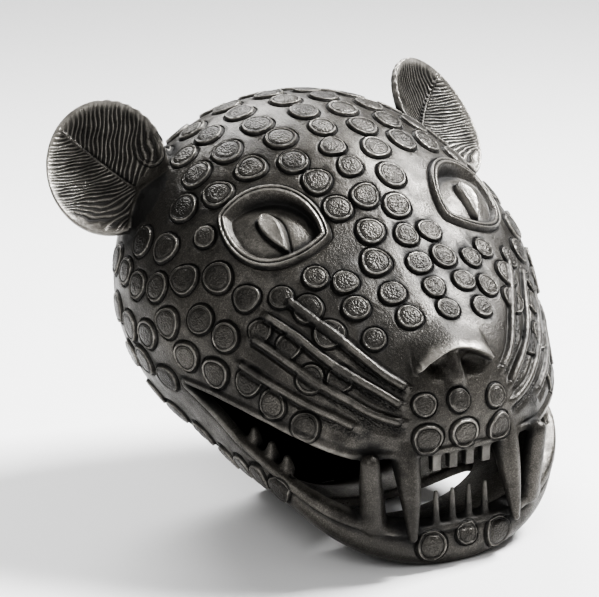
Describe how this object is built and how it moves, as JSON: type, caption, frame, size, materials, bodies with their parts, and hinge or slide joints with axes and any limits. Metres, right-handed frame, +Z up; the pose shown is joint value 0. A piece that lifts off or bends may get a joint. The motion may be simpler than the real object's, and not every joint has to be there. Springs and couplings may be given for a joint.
{
  "type": "leopard head sculpture",
  "caption": "Hollow cast brass leopard head with raised spots, whisker ridges, leaf-shaped ears and an open, fanged mouth, standing on its jaw.",
  "frame": {"origin": "on the table, under the middle of the bounding box", "axes": "+Z up, the face looks along -Y, +X is towards the viewer's right when facing the face"},
  "size_m": [0.1884, 0.1744, 0.1502],
  "materials": {
    "brass": "dark brown-black patina, worn lighter on raised edges"
  },
  "bodies": {
    "root": {"leopard_head": "brass"}
  },
  "joints": []
}
